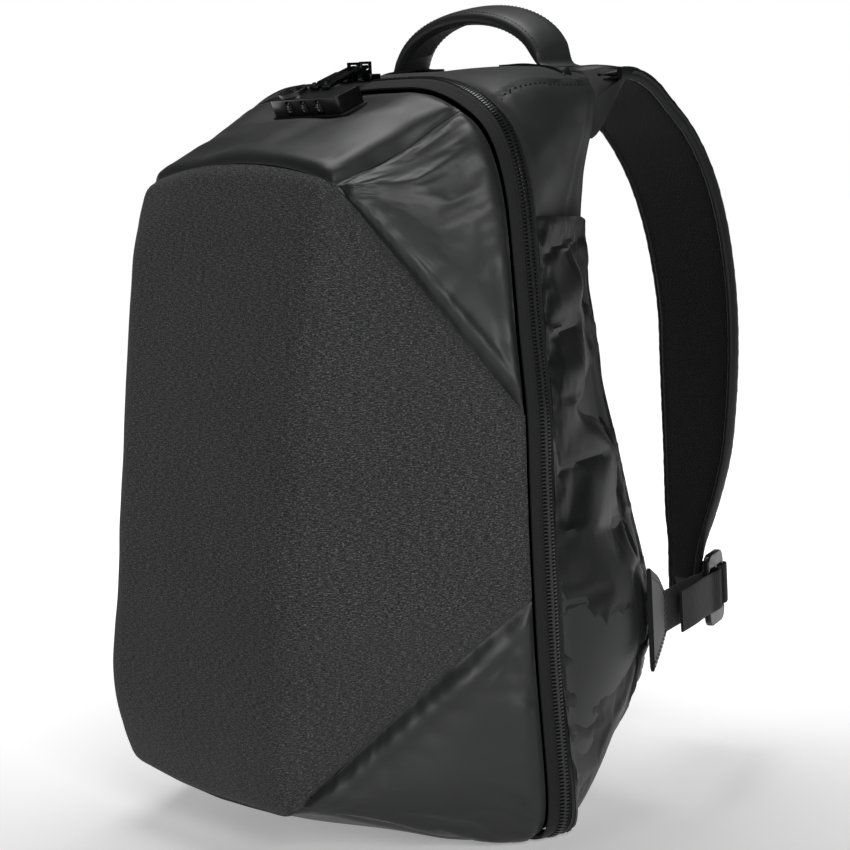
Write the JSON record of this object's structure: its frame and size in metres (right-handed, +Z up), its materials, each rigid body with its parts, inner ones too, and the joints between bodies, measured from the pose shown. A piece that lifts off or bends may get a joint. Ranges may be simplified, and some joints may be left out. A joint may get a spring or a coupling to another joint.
{
  "type": "anti theft backpack",
  "caption": "Upright faceted backpack, zip closed, with a combination lock on top, carry handle, side pockets, padded back and shoulder straps.",
  "frame": {"origin": "on the floor, at the middle of the flat base, in the plane of the zip chain", "axes": "+Z up, front (grey panel) towards -Y, straps towards +Y, +X to the left hand of someone facing the front"},
  "size_m": [0.307, 0.3644, 0.478],
  "materials": {
    "grey_heather_cloth": "matte heather weave",
    "coated_cloth": "satin coated weave",
    "zip_tape": "matte ribbed",
    "zip_coil": "satin",
    "spacer_mesh": "matte knitted mesh",
    "webbing": "matte ribbed",
    "buckle_plastic": "satin",
    "lock_plastic": "gloss",
    "lock_rubber": "matte",
    "dial_plastic": "gloss",
    "dark_chrome": "polished, dark"
  },
  "bodies": {
    "bag": {"front_panel": "grey_heather_cloth", "top_facet": "coated_cloth", "upper_facet_left": "coated_cloth", "upper_facet_right": "coated_cloth", "lower_facet_left": "coated_cloth", "lower_facet_right": "coated_cloth", "base_panel": "coated_cloth", "rear_gusset": "coated_cloth", "side_pocket_left": "coated_cloth", "side_pocket_right": "coated_cloth", "carry_handle": "coated_cloth", "webbing_anchor_left": "coated_cloth", "webbing_anchor_right": "coated_cloth", "zip_tape_front": "zip_tape", "zip_tape_rear": "zip_tape", "zip_chain": "zip_coil", "back_panel": "spacer_mesh", "shoulder_strap_left": "spacer_mesh", "shoulder_strap_right": "spacer_mesh", "strap_webbing_left": "webbing", "strap_webbing_right": "webbing", "strap_stub_left": "webbing", "strap_stub_right": "webbing", "strap_buckle_left": "buckle_plastic", "strap_buckle_right": "buckle_plastic", "lock_body": "lock_plastic", "lock_base": "lock_rubber", "pull_tab_left": "dark_chrome", "pull_tab_right": "dark_chrome", "zip_slider_left": "dark_chrome", "zip_slider_right": "dark_chrome"},
    "dial_1": {"lock_dial_1": "dial_plastic"},
    "dial_2": {"lock_dial_2": "dial_plastic"},
    "dial_3": {"lock_dial_3": "dial_plastic"},
    "key": {"lock_key_core": "dark_chrome"}
  },
  "joints": [
    {"name": "dial_1_turn", "type": "hinge", "parent": "bag", "child": "dial_1", "pos_m": [-0.014, -0.03942, 0.42094], "axis": [1, 0, 0], "continuous": true},
    {"name": "dial_2_turn", "type": "hinge", "parent": "bag", "child": "dial_2", "pos_m": [0.0005, -0.03942, 0.42094], "axis": [1, 0, 0], "continuous": true},
    {"name": "dial_3_turn", "type": "hinge", "parent": "bag", "child": "dial_3", "pos_m": [0.015, -0.03942, 0.42094], "axis": [1, 0, 0], "continuous": true},
    {"name": "key_turn", "type": "hinge", "parent": "bag", "child": "key", "pos_m": [-0.02, -0.03513, 0.43165], "axis": [0, -0.342, 0.9397], "range_deg": [0, 90]}
  ]
}
